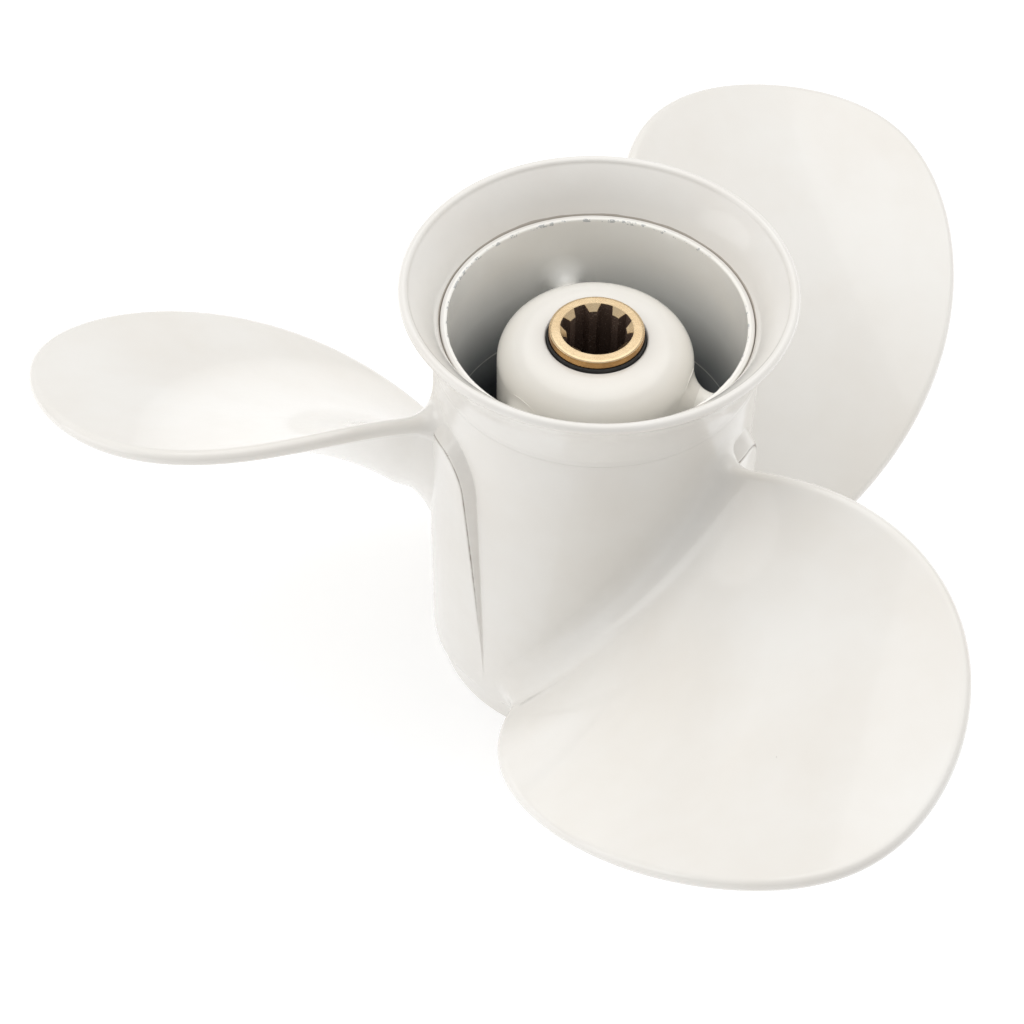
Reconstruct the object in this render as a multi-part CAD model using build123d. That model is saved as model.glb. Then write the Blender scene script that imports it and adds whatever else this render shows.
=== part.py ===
from build123d import *
from math import asin, atan2, cos, degrees, hypot, pi, radians, sin, sqrt, tan
import os

# A three-blade through-hub-exhaust outboard propeller. The shaft axis is Z. The origin is on
# it, in the plane of the barrel's forward end, and +Z points aft, away from the gearcase.

# Barrel: the outer tube that carries the blades
barrel_length = 94.8
barrel_bore_radius = 29.45
barrel_wall = 3.15
barrel_radius = barrel_bore_radius + barrel_wall
socket_relief = 0.55       # the forward socket, for the gearcase neck, is this much wider
socket_radius = barrel_bore_radius + socket_relief
socket_depth = 20.0
band_height = 5.4          # turned band at the forward end
band_cut = 0.5             # its depth below the cast surface
band_radius = barrel_radius - band_cut

# Diffuser ring: a flared ring pressed on a spigot at the barrel's aft end
spigot_wall = 1.45
spigot_radius = barrel_bore_radius + spigot_wall
spigot_length = 7.5
seat_height = barrel_length - spigot_length
flare_height = 8.5         # from the barrel's aft end to the middle of the rolled lip
flare_spread = 5.2         # from the barrel's surface to the middle of the rolled lip
flare_radius = barrel_radius + flare_spread
flare_inner_bow = 0.72     # how far each side of the flare bows towards the axis
flare_outer_bow = 1.06
lip_radius = 1.0
collar_height = 1.2        # straight outer collar before the flare

# Die-parting ledges: each rises out of the barrel as it runs aft
ledge_lead = 4.1           # from the turned band to where a ledge starts
ledge_setback = 14.3       # from its aft end to the diffuser ring
ledge_start = band_height + ledge_lead
ledge_end = seat_height - ledge_setback
ledge_height = 1.3
ledge_angle = 34.0         # arc that each ledge covers, in degrees
ledge_bearing = 60.0       # degrees from the middle of a blade's root to the step

# Rubber bush and splined sleeve
turning_clearance = 0.05   # radial, where one turning piece runs on the next
bush_radius = 15.4
sleeve_radius = 9.5
sleeve_wall = 2.2          # at the bottom of the gaps
sleeve_edge = 0.4
spline_teeth = 8
spline_depth = 1.3
spline_root_radius = sleeve_radius - sleeve_wall
spline_tip_radius = spline_root_radius - spline_depth
spline_gap_root = 18.5     # angle of a gap at its root, in degrees
spline_gap_tip = 30.0      # and between the tooth tips
spline_bearing = 22.5      # degrees from +X to the first gap
tooth_end_chamfer = 1.1
pilot_relief = 0.3         # the plain bore forward of the splines is this much wider
pilot_radius = spline_root_radius + pilot_relief
pilot_length = 8.0

# Hub boss: the inner tube that holds the bush
boss_wall = 4.25
boss_bore_radius = bush_radius + turning_clearance
boss_radius = boss_bore_radius + boss_wall
boss_start = 26.0
boss_end_depth = 4.9       # its aft end lies this far inside the barrel
boss_end = barrel_length - boss_end_depth
boss_hole_clearance = 0.55
boss_hole_radius = sleeve_radius + boss_hole_clearance
boss_dome_radius = 6.2
boss_lip_thickness = 4.4   # flange at the aft end that stops the bush

# Where the bush and the sleeve lie in the boss
bush_inset = 5.5           # from the boss's forward end to the bush
bush_start = boss_start + bush_inset
bush_end = boss_end - boss_lip_thickness
skin_clearance = 0.15      # between the boss's hole and the rubber skin that comes up through it
skin_radius = boss_hole_radius - skin_clearance
skin_proud = 0.6           # the skin stands out this far aft of the boss
skin_end = boss_end + skin_proud
sleeve_lead = 5.0          # how far the sleeve stands out forward of the boss
sleeve_proud = 2.3         # and aft of it
sleeve_start = boss_start - sleeve_lead
sleeve_end = boss_end + sleeve_proud

# Ribs between the boss and the barrel
rib_count = 3
rib_thickness = 5.0
rib_inset = 6.0            # from the boss's forward end to a rib
rib_setback = 8.9          # from a rib to the boss's aft end
rib_start = boss_start + rib_inset
rib_end = boss_end - rib_setback
rib_bearing = 96.6         # degrees from +X to the first rib

# Blades: right-hand, seen from aft. Each set of four values stands at the root, one third,
# two thirds and the tip.
blade_count = 3
tip_radius = 117.5
root_offset = 3.4          # from the barrel's surface out to where the root is measured
blade_root_radius = barrel_radius + root_offset
blade_bearing = -85.2      # degrees from +X to the middle of the first blade's root
blade_pitch = (323.0, 288.2, 253.5, 218.7)
root_share = 0.697         # share of the barrel's length that a blade's root spans
root_half_angle = 180 * root_share * barrel_length / blade_pitch[0]
blade_width = (1.0, 0.94, 0.685, 0.356)    # half angles, as shares of the root's
blade_half_angle = tuple(root_half_angle * width for width in blade_width)
blade_sweep = (0.0, 6.9, 11.2, 12.4)       # turn of the middle line, in degrees
root_height_share = 0.477  # height of the root's middle, as a share of the barrel's length
blade_rise = (0.0, 11.6, 19.7, 24.9)       # of the middle line above the root's middle
blade_middle_height = tuple(root_height_share * barrel_length + rise for rise in blade_rise)
blade_middle_thickness = (11.0, 7.6, 5.2, 3.6)
blade_edge_thickness = 2.8
blade_edge_round = 0.8
tip_roundness = 6.8        # a higher value gives a squarer tip

# How finely a blade is drawn
section_count = 9          # flat sections from inside the barrel to past the tip
chord_count = 9            # points across a section
outline_count = 9          # points on each side of the outline
first_section_share = 0.55   # of the root radius
last_section_share = 1.01    # of the tip radius
section_margin = 1.08      # sections run this far past the outline, as a share of its width
outline_start = -0.12      # share of the span where the outline starts, inside the barrel
slope_step = 0.01          # distance over which a section's slope is measured
settling_rounds = 12       # rounds in which the end of a section settles
same_radius = 0.001        # radii closer than this are the same


def along(stations, share):
    """Cubic through four values that stand at even shares from 0 to 1."""
    a, b, c, d = stations
    s = 3 * share
    return (
        a * (1 - s) * (2 - s) * (3 - s) / 6
        + b * s * (2 - s) * (3 - s) / 2
        - c * s * (1 - s) * (3 - s) / 2
        + d * s * (1 - s) * (2 - s) / 6
    )


def blade_share(radius):
    """Share of the way from a blade's root to its tip."""
    return (radius - blade_root_radius) / (tip_radius - blade_root_radius)


def face_height(radius, angle):
    """Height of a blade's aft face at an angle, in degrees, from the middle of its root."""
    share = blade_share(radius)
    turned = angle - along(blade_sweep, share)
    return along(blade_middle_height, share) + along(blade_pitch, share) * turned / 360


def ring_of(profile):
    """Solid of revolution about the shaft axis from a closed profile in the XZ plane."""
    return revolve(make_face(profile), Axis.Z)


def tube(inner, outer, start, end):
    ring = Cylinder(outer, end - start, align=(Align.CENTER, Align.CENTER, Align.MIN))
    ring -= Cylinder(inner, end - start, align=(Align.CENTER, Align.CENTER, Align.MIN))
    return Pos(0, 0, start) * ring


def outer_profile(inner):
    """Half section of the barrel's outside, closed at an inner radius."""
    return Polyline(
        (inner, 0, 0),
        (band_radius, 0, 0),
        (band_radius, 0, band_height),
        (barrel_radius, 0, band_height),
        (barrel_radius, 0, seat_height),
        (spigot_radius, 0, seat_height),
        (spigot_radius, 0, barrel_length),
        (inner, 0, barrel_length),
        close=True,
    )


def parting_ledge():
    """Wedge that rises from the barrel beside each blade, where the dies part."""
    root = (barrel_bore_radius + barrel_radius) / 2
    profile = Polyline(
        (root, 0, ledge_start),
        (barrel_radius, 0, ledge_start),
        (barrel_radius + ledge_height, 0, ledge_end),
        (root, 0, ledge_end),
        close=True,
    )
    start = blade_bearing + ledge_bearing - ledge_angle
    return Rot(0, 0, start) * revolve(make_face(profile), Axis.Z, ledge_angle)


def barrel():
    body = ring_of(outer_profile(barrel_bore_radius))
    for k in range(blade_count):
        body += Rot(0, 0, 360 / blade_count * k) * parting_ledge()
    return body - tube(barrel_bore_radius / 2, socket_radius, 0, socket_depth)


def bowed(start, end, bow):
    """Arc between two points of the XZ plane, bowed towards the axis."""
    across = abs(end[0] - start[0])
    up = abs(end[2] - start[2])
    length = hypot(across, up)
    middle = (
        (start[0] + end[0]) / 2 - bow * up / length,
        0,
        (start[2] + end[2]) / 2 + bow * across / length,
    )
    return ThreePointArc(start, middle, end)


def diffuser_ring():
    lip_height = barrel_length + flare_height
    foot = (spigot_radius, 0, barrel_length)
    inner_lip = (flare_radius - lip_radius, 0, lip_height)
    outer_lip = (flare_radius + lip_radius, 0, lip_height)
    collar = (barrel_radius, 0, seat_height + collar_height)
    profile = [
        Line((spigot_radius, 0, seat_height), foot),
        bowed(foot, inner_lip, flare_inner_bow),
        ThreePointArc(inner_lip, (flare_radius, 0, lip_height + lip_radius), outer_lip),
        bowed(outer_lip, collar, flare_outer_bow),
        Line(collar, (barrel_radius, 0, seat_height)),
        Line((barrel_radius, 0, seat_height), (spigot_radius, 0, seat_height)),
    ]
    return ring_of(profile)


def hub_boss():
    bore = boss_bore_radius
    dome = boss_dome_radius
    corner = (
        boss_radius - dome + dome * sin(pi / 4),
        0,
        boss_end - dome + dome * sin(pi / 4),
    )
    dome_top = (boss_radius - dome, 0, boss_end)
    dome_foot = (boss_radius, 0, boss_end - dome)
    profile = [
        Line((bore, 0, boss_start), (boss_radius, 0, boss_start)),
        Line((boss_radius, 0, boss_start), dome_foot),
        ThreePointArc(dome_foot, corner, dome_top),
        Line(dome_top, (boss_hole_radius, 0, boss_end)),
        Line((boss_hole_radius, 0, boss_end), (boss_hole_radius, 0, bush_end)),
        Line((boss_hole_radius, 0, bush_end), (bore, 0, bush_end)),
        Line((bore, 0, bush_end), (bore, 0, boss_start)),
    ]
    return ring_of(profile)


def rib(number):
    height = rib_end - rib_start
    plate = Box(
        barrel_radius, rib_thickness, height, align=(Align.MIN, Align.CENTER, Align.MIN)
    )
    plate = Pos(0, 0, rib_start) * plate
    plate &= tube(boss_radius, barrel_bore_radius, rib_start, rib_end)
    return Rot(0, 0, rib_bearing + 360 / rib_count * number) * plate


def rubber_bush():
    bore = sleeve_radius + turning_clearance
    bush = tube(bore, bush_radius, bush_start, bush_end)
    return bush + tube(bore, skin_radius, bush_end, skin_end)


def spline_gap():
    """Prism that cuts one gap between two teeth, wider at the tooth tips than at the root."""
    root = radians(spline_gap_root / 2)
    tip = radians(spline_gap_tip / 2)
    inside = spline_tip_radius / 2
    outline = Polyline(
        (inside, -spline_tip_radius * sin(tip)),
        (spline_tip_radius * cos(tip), -spline_tip_radius * sin(tip)),
        (spline_root_radius * cos(root), -spline_root_radius * sin(root)),
        (spline_root_radius, 0),
        (spline_root_radius * cos(root), spline_root_radius * sin(root)),
        (spline_tip_radius * cos(tip), spline_tip_radius * sin(tip)),
        (inside, spline_tip_radius * sin(tip)),
        close=True,
    )
    return Pos(0, 0, sleeve_start) * extrude(make_face(outline), sleeve_end - sleeve_start)


def splined_sleeve():
    sleeve = tube(spline_tip_radius, sleeve_radius, sleeve_start, sleeve_end)
    for k in range(spline_teeth):
        sleeve -= Rot(0, 0, spline_bearing + 360 / spline_teeth * k) * spline_gap()
    sleeve -= tube(spline_tip_radius / 2, pilot_radius, sleeve_start, sleeve_start + pilot_length)
    mouth = Cone(
        spline_tip_radius,
        spline_root_radius,
        tooth_end_chamfer,
        align=(Align.CENTER, Align.CENTER, Align.MAX),
    )
    sleeve -= Pos(0, 0, sleeve_end) * mouth
    rims = sleeve.edges().filter_by(GeomType.CIRCLE)
    rims = rims.filter_by(lambda edge: abs(edge.radius - sleeve_radius) < same_radius)
    return chamfer(rims, sleeve_edge)


def chord_end(offset, side):
    """Distance along a flat section, at an offset from the axis, to just past a blade edge."""
    radius = offset
    turned = 0
    for _ in range(settling_rounds):
        share = blade_share(radius)
        reach = section_margin * along(blade_half_angle, share)
        angle = along(blade_sweep, share) + side * reach
        turned = radians(angle - blade_sweep[-1] / 2)
        radius = (radius + offset / cos(turned)) / 2
    return offset * tan(turned)


def section_height(offset, y):
    """Height of the aft face at a point of a flat section."""
    angle = degrees(atan2(y, offset)) + blade_sweep[-1] / 2
    return face_height(hypot(offset, y), angle)


def blade_section(offset):
    """Closed wire of the blade's section in the plane x = offset, in the blade's own frame."""
    aft_points = []
    forward_points = []
    low = chord_end(offset, -1)
    high = chord_end(offset, 1)
    for i in range(chord_count):
        y = low + (high - low) * i / (chord_count - 1)
        z = section_height(offset, y)
        slope = (section_height(offset, y + slope_step) - z) / slope_step
        radius = hypot(offset, y)
        share = blade_share(radius)
        angle = degrees(atan2(y, offset)) + blade_sweep[-1] / 2
        across = (angle - along(blade_sweep, share)) / along(blade_half_angle, share)
        middle = along(blade_middle_thickness, share)
        thick = blade_edge_thickness + (middle - blade_edge_thickness) * (1 - across**2)
        lean = sqrt(1 + slope**2)
        aft_points.append(Vector(offset, y, z))
        forward_points.append(Vector(offset, y + thick * slope / lean, z - thick / lean))
    aft = Edge.make_spline(aft_points)
    forward = Edge.make_spline(forward_points[::-1])
    trailing = Edge.make_line(aft_points[-1], forward_points[-1])
    leading = Edge.make_line(forward_points[0], aft_points[0])
    return Wire([aft, trailing, forward, leading])


def blade_outline_prism():
    """Prism that trims the blade to its outline, square to the blade's middle."""
    lean = atan2(along(blade_pitch, 0.5), 2 * pi * (blade_root_radius + tip_radius) / 2)
    points = []
    start = asin(outline_start)
    for side in (-1, 1):
        half = []
        for i in range(outline_count):
            share = sin(start + (pi / 2 - start) * i / outline_count)
            radius = blade_root_radius + (tip_radius - blade_root_radius) * share
            rounding = sqrt(1 - abs(share) ** tip_roundness)
            angle = along(blade_sweep, share) + side * along(blade_half_angle, share) * rounding
            turned = radians(angle - blade_sweep[-1] / 2)
            x = radius * cos(turned)
            y = radius * sin(turned)
            half.append((x, y * cos(lean) + face_height(radius, angle) * sin(lean)))
        points.append(half)
    turned = radians(blade_sweep[-1] / 2)
    tip_y = tip_radius * sin(turned)
    tip_z = face_height(tip_radius, blade_sweep[-1])
    tip = (tip_radius * cos(turned), tip_y * cos(lean) + tip_z * sin(lean))
    plane = Plane((0, 0, 0), (1, 0, 0), (0, -sin(lean), cos(lean)))
    outline = Spline(*points[0], tip, *points[1][::-1])
    closing = Line(points[1][0], points[0][0])
    return extrude(plane * make_face([outline, closing]), 2 * tip_radius, both=True)


def blade():
    first = blade_root_radius * first_section_share
    last = tip_radius * last_section_share
    wires = []
    for i in range(section_count):
        wires.append(blade_section(first + (last - first) * i / (section_count - 1)))
    body = Solid.make_loft(wires) & blade_outline_prism()
    # its two longest edges are the rims of its two faces
    rims = body.edges().sort_by(SortBy.LENGTH)[-2:]
    body = fillet(rims, blade_edge_round)
    body = Rot(0, 0, blade_bearing + blade_sweep[-1] / 2) * body
    return body - ring_of(outer_profile(0)) - barrel()


def main():
    os.makedirs("parts", exist_ok=True)
    pieces = {
        "barrel": barrel(),
        "hub_boss": hub_boss(),
        "diffuser_ring": diffuser_ring(),
        "rubber_bush": rubber_bush(),
        "splined_sleeve": splined_sleeve(),
    }
    for number in range(rib_count):
        pieces[f"rib_{number + 1}"] = rib(number)
    first_blade = blade()
    for number in range(blade_count):
        pieces[f"blade_{number + 1}"] = Rot(0, 0, 360 / blade_count * number) * first_blade
    for name, shape in pieces.items():
        export_step(shape, f"parts/{name}.step")


main()
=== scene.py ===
import bmesh
import bpy
import numpy as np
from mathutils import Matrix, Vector


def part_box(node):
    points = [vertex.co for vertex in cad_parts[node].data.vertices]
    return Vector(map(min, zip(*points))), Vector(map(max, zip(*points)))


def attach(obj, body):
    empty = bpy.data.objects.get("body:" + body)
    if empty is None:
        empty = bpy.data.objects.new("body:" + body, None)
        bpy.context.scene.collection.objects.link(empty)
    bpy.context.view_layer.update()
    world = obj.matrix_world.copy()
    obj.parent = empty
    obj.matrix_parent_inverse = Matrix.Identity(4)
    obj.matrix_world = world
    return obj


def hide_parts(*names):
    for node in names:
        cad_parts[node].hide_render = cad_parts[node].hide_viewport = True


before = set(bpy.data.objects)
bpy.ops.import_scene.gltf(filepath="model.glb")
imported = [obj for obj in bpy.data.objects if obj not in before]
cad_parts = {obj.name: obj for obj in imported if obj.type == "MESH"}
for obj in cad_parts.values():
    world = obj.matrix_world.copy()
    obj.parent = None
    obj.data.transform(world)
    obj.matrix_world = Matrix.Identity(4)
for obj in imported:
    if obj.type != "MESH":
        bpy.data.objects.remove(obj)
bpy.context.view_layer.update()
print("frame loaded:", len(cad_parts), "nodes")

# Shapes are in millimetres and degrees, and makePiece turns them into metres.
# Materials, lights and the camera are in metres.
mm = 0.001


def cadTop(node):
    # height of a node's highest point
    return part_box(node)[1][2] / mm


def cadBottom(node):
    # height of a node's lowest point
    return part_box(node)[0][2] / mm


def gridFaces(rows, cols, closeRows=False, closeCols=False):
    # quads of a rows x cols grid: corner (i, j), then (i, j+1), (i+1, j+1), (i+1, j)
    i = np.arange(rows if closeRows else rows - 1)[:, None]
    j = np.arange(cols if closeCols else cols - 1)[None, :]
    i2, j2 = (i + 1) % rows, (j + 1) % cols
    corners = [i * cols + j, i * cols + j2, i2 * cols + j2, i2 * cols + j]
    return np.stack(corners, -1).reshape(-1, 4)


def turned(radius, angle, height):
    # point on a circle about the shaft: (r cos a, r sin a, z), angle in degrees
    a = np.radians(angle)
    return np.stack(np.broadcast_arrays(radius * np.cos(a), radius * np.sin(a), height), -1)


def polar(points):
    # distance of each point from the shaft's axis, and its angle in degrees
    x, y = points[..., 0], points[..., 1]
    return np.hypot(x, y), np.degrees(np.arctan2(y, x))


def spunAbout(points, angle):
    # the points turned about the shaft: (x cos a - y sin a, x sin a + y cos a, z)
    c, s = np.cos(np.radians(angle)), np.sin(np.radians(angle))
    x, y, z = np.moveaxis(points, -1, 0)
    return np.stack([x * c - y * s, x * s + y * c, z], -1)


def unit(v):
    # each vector divided by its length
    return v / np.maximum(np.linalg.norm(v, axis=-1, keepdims=True), 1e-12)


def smoothStep(x):
    # 0 below 0, 1 above 1, and 3x^2 - 2x^3 between
    x = np.clip(x, 0, 1)
    return x * x * (3 - 2 * x)


def bell(x, width):
    # exp of minus (x / width) squared
    return np.exp(-(x / width) ** 2)


def wander(angle, seed, waves, turns):
    # sum of sines round a circle with random phases and counts, between about -1 and 1
    rng = np.random.default_rng(seed)
    counts = rng.integers(turns[0], turns[1], waves)
    phases = rng.uniform(0, 2 * np.pi, waves)
    sizes = rng.uniform(0.4, 1.0, waves)
    a = np.radians(angle)[..., None]
    return (np.sin(a * counts + phases) * sizes).sum(-1) / sizes.sum()


def arc(centre, radius, start, end, count):
    # points (r, z) on an arc about a centre, angles in degrees
    a = np.radians(np.linspace(start, end, count))
    return np.stack([centre[0] + radius * np.cos(a), centre[1] + radius * np.sin(a)], -1)


def run(start, end, count):
    # points (r, z) evenly along a straight run: start (1 - t) + end t
    t = np.linspace(0, 1, count)[:, None]
    return np.array(start) * (1 - t) + np.array(end) * t


def bowed(start, end, bow, count):
    # straight run from start to end pushed sideways by bow times 4t(1 - t)
    t = np.linspace(0, 1, count)[:, None]
    start, end = np.array(start), np.array(end)
    way = (end - start) / np.linalg.norm(end - start)
    return start * (1 - t) + end * t + np.array([-way[1], way[0]]) * bow * 4 * t * (1 - t)


def spaced(stops, counts):
    # values evenly spaced between each pair of stops, each stop once and the last left out
    return np.concatenate([np.linspace(a, b, n)[:-1] for a, b, n in zip(stops, stops[1:], counts)])


def weldedFaces(faces, mapping):
    # faces after welding; a quad that has lost a corner becomes a triangle
    out = []
    for face in mapping[faces].tolist():
        ring = [v for n, v in enumerate(face) if v != face[n - 1]]
        if len(set(ring)) > 2:
            out.append(ring)
    return out


def makePiece(name, points, faces, material, nodes, body, sharpAngle=35, paintedShade=None):
    # a closed mesh with its faces turned outward and no unused points; the optional last argument gives a
    # painted shade value for each point
    mesh = bpy.data.meshes.new(name)
    faces = faces if isinstance(faces, list) else faces.tolist()
    mesh.from_pydata((points.reshape(-1, 3) * mm).tolist(), [], faces)
    if paintedShade is not None:
        mesh.attributes.new("paintedShade", "FLOAT", "POINT").data.foreach_set("value", paintedShade.ravel())
    shell = bmesh.new()
    shell.from_mesh(mesh)
    unused = [v for v in shell.verts if not v.link_faces]
    bmesh.ops.delete(shell, geom=unused, context="VERTS")
    bmesh.ops.recalc_face_normals(shell, faces=shell.faces)
    shell.to_mesh(mesh)
    shell.free()
    mesh.polygons.foreach_set("use_smooth", np.ones(len(mesh.polygons), bool))
    mesh.set_sharp_from_angle(angle=np.radians(sharpAngle))
    piece = bpy.data.objects.new(name, mesh)
    bpy.context.scene.collection.objects.link(piece)
    mesh.materials.append(material)
    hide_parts(*nodes)
    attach(piece, body)
    return piece


def turnedPiece(name, profile, columns, material, node, body, sharpAngle):
    # a closed profile of (r, z) points carried round the shaft
    angle = np.linspace(0, 360, columns, endpoint=False)
    points = turned(profile[:, :1], angle, profile[:, 1:])
    faces = gridFaces(*points.shape[:2], closeRows=True, closeCols=True)
    return makePiece(name, points, faces, material, [node], body, sharpAngle)


# Sets of four stand at the root, one third, two thirds and the tip of a blade.
bladeSet = {
    "count": 3, "bearing": -85.2, "rootRadius": 36.0, "tipRadius": 117.1,
    "halfAngle": (36.8, 34.6, 25.2, 13.1), "sweep": (0.0, 6.9, 11.2, 12.4),
    "height": (45.2, 56.8, 64.9, 70.1), "pitch": (323.0, 288.2, 253.5, 218.7),
    "middleThickness": (11.0, 7.6, 5.2, 3.6), "edgeThickness": (3.6, 3.1, 2.9, 2.7),
    "tipRoundness": 6.8, "fillet": 7.0, "filletSteps": 14, "lengthSteps": 64,
    "acrossSteps": 22, "rimSteps": 10, "crowding": 1.35, "slopeStep": 0.05, "innerStep": 6.0,
    "ridgeShort": 0.18, "ridgePower": 4, "skirtDepth": 1.6, "capDepth": 1.8, "sharpAngle": 50,
}


def along(stations, share):
    # cubic through four values at shares 0, 1/3, 2/3 and 1
    a, b, c, d = stations
    s = 3 * share
    return (a * (1 - s) * (2 - s) * (3 - s) / 6 + b * s * (2 - s) * (3 - s) / 2
            - c * s * (1 - s) * (3 - s) / 2 + d * s * (1 - s) * (2 - s) / 6)


def bladeShare(radius):
    # share of the way from a blade's root to its tip
    return (radius - bladeSet["rootRadius"]) / (bladeSet["tipRadius"] - bladeSet["rootRadius"])


def aftFace(radius, angle):
    # helical face: height of the middle line plus pitch times the turn away from it
    share = bladeShare(radius)
    turn = angle - along(bladeSet["sweep"], share)
    height = along(bladeSet["height"], share) + along(bladeSet["pitch"], share) * turn / 360
    return turned(radius, angle, height)


def faceNormal(radius, angle):
    # cross product of the face's two slopes, pointing aft
    step = bladeSet["slopeStep"]
    dr = aftFace(radius + step, angle) - aftFace(radius - step, angle)
    da = aftFace(radius, angle + step) - aftFace(radius, angle - step)
    return unit(np.cross(dr, da))


def bladeSurface(wallRadius):
    # Columns run along the outline from the leading root over the tip to the trailing root.
    # Rows run from the middle line of the aft face, round the rim, to the middle of the forward face.
    s = bladeSet
    span = s["tipRadius"] - s["rootRadius"]
    psi = np.radians(np.linspace(0, 90, s["filletSteps"] + 1))
    filletShare = bladeShare(wallRadius + s["fillet"] * (1 - np.cos(psi)))
    sweepAngle = np.linspace(np.arcsin(filletShare[-1]), np.pi / 2, s["lengthSteps"])
    half = np.concatenate([filletShare[:-1], np.sin(sweepAngle)])
    share = np.concatenate([half, half[-2::-1]])
    side = np.concatenate([-np.ones(len(half)), np.ones(len(half) - 1)])
    rounding = np.sqrt(1 - np.abs(share) ** s["tipRoundness"])
    angle = along(s["sweep"], share) + side * along(s["halfAngle"], share) * rounding
    radius = s["rootRadius"] + span * share
    outline = aftFace(radius, angle)
    # the rim is a half circle about a line that lies half the edge's thickness in from the outline
    step = np.gradient(outline, axis=0)
    normal = faceNormal(radius, angle)
    inward = unit(np.cross(normal, unit(step)))
    middle = aftFace(radius - s["innerStep"] * share, along(s["sweep"], share))
    inward *= np.sign((inward * (middle - outline)).sum(-1, keepdims=True))
    rimRadius = along(s["edgeThickness"], share)[:, None] / 2
    topRadius, topAngle = polar(outline + inward * rimRadius)
    rimCentre = aftFace(topRadius, topAngle) - normal * rimRadius
    phi = np.radians(np.linspace(90, -90, s["rimSteps"] + 1))[1:-1, None, None]
    rimWay = -inward * np.cos(phi) + normal * np.sin(phi)
    rim = rimCentre + rimWay * rimRadius
    # the middle line stops short of the tip so that the columns fan round it
    ridgeShare = share * (1 - s["ridgeShort"] * np.abs(share) ** s["ridgePower"])
    ridgeRadius = s["rootRadius"] + span * ridgeShare
    ridgeAngle = along(s["sweep"], ridgeShare)
    w = np.linspace(1, 0, s["acrossSteps"] + 1)[:, None] ** s["crowding"]
    r = topRadius * (1 - w) + ridgeRadius * w
    a = topAngle * (1 - w) + ridgeAngle * w
    aft = aftFace(r, a)
    aftNormal = faceNormal(r, a)
    # thickness falls from the middle line to the edge as 1 - (1 - w)^2
    inner = bladeShare(r)
    edge = along(s["edgeThickness"], inner)
    thick = edge + (along(s["middleThickness"], inner) - edge) * (1 - (1 - w) ** 2)
    forward = (aft - aftNormal * thick[..., None])[::-1]
    points = np.concatenate([aft, rim, forward])
    way = np.concatenate([aftNormal, rimWay, -aftNormal[::-1]])
    # root fillet: a section grows by R(1 - sin psi) where it is R(1 - cos psi) off the wall
    grow = np.zeros(len(share))
    grow[: s["filletSteps"]] = s["fillet"] * (1 - np.sin(psi[:-1]))
    grow[-s["filletSteps"]:] = grow[: s["filletSteps"]][::-1]
    pr, pa = polar(points)
    around = np.stack([-np.sin(np.radians(pa)), np.cos(np.radians(pa))], -1)
    across = (way[..., :2] * around).sum(-1)
    scale = grow / np.hypot(across, way[..., 2])
    pr = np.where(grow > 0, radius, pr)
    return turned(pr, pa + np.degrees(across * scale / pr), points[..., 2] + way[..., 2] * scale)


def bladePiece(number, wallRadius, material):
    # the blade's grid with a skirt on each root end that runs into the barrel's wall, and a cap on each
    s = bladeSet
    surface = bladeSurface(wallRadius)
    rootRow = surface[:, [0, -1]]
    half = len(surface) // 2
    skirt = turned(wallRadius - s["skirtDepth"], polar(rootRow)[1], rootRow[..., 2])
    points = np.concatenate([skirt[:, :1], surface, skirt[:, 1:]], 1)
    rows, cols = points.shape[:2]
    # the first and last rows run out along a face's middle line and back, so their halves are welded
    index = np.arange(rows * cols).reshape(rows, cols)
    mapping = np.arange(rows * cols + 2 * half)
    for row in (0, -1):
        mapping[index[row, cols // 2 + 1:]] = index[row, : cols // 2][::-1]
    lists = weldedFaces(gridFaces(rows, cols), mapping)
    # each cap has a middle line halfway between the two faces' skirts
    capLine = (skirt[:half] + skirt[::-1][:half]) / 2
    cap = turned(wallRadius - s["capDepth"], polar(capLine)[1], capLine[..., 2])
    for end, way in ((0, 1), (1, -1)):
        column = index[:, -end]
        upper, lower = mapping[column[:half]], mapping[column[::-1][:half]]
        middle = rows * cols + end * half + np.arange(half)
        middle[0] = rows * cols
        for a, b in ((upper, middle), (middle, lower)):
            quads = np.stack([a[:-1], b[:-1], b[1:], a[1:]], -1)[:, ::way]
            lists += weldedFaces(quads, mapping)
        rimMiddle = mapping[column[half]]
        lists.append([int(v) for v in (upper[-1], middle[-1], lower[-1], rimMiddle)][::way])
    everything = np.concatenate([points.reshape(-1, 3), cap[:, 0], cap[:, 1]])
    bearing = s["bearing"] + 360 / s["count"] * number
    return makePiece(f"bladeSkin{number + 1}", spunAbout(everything, bearing), lists, material,
                     [f"blade_{number + 1}"], "casting", s["sharpAngle"])


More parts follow.
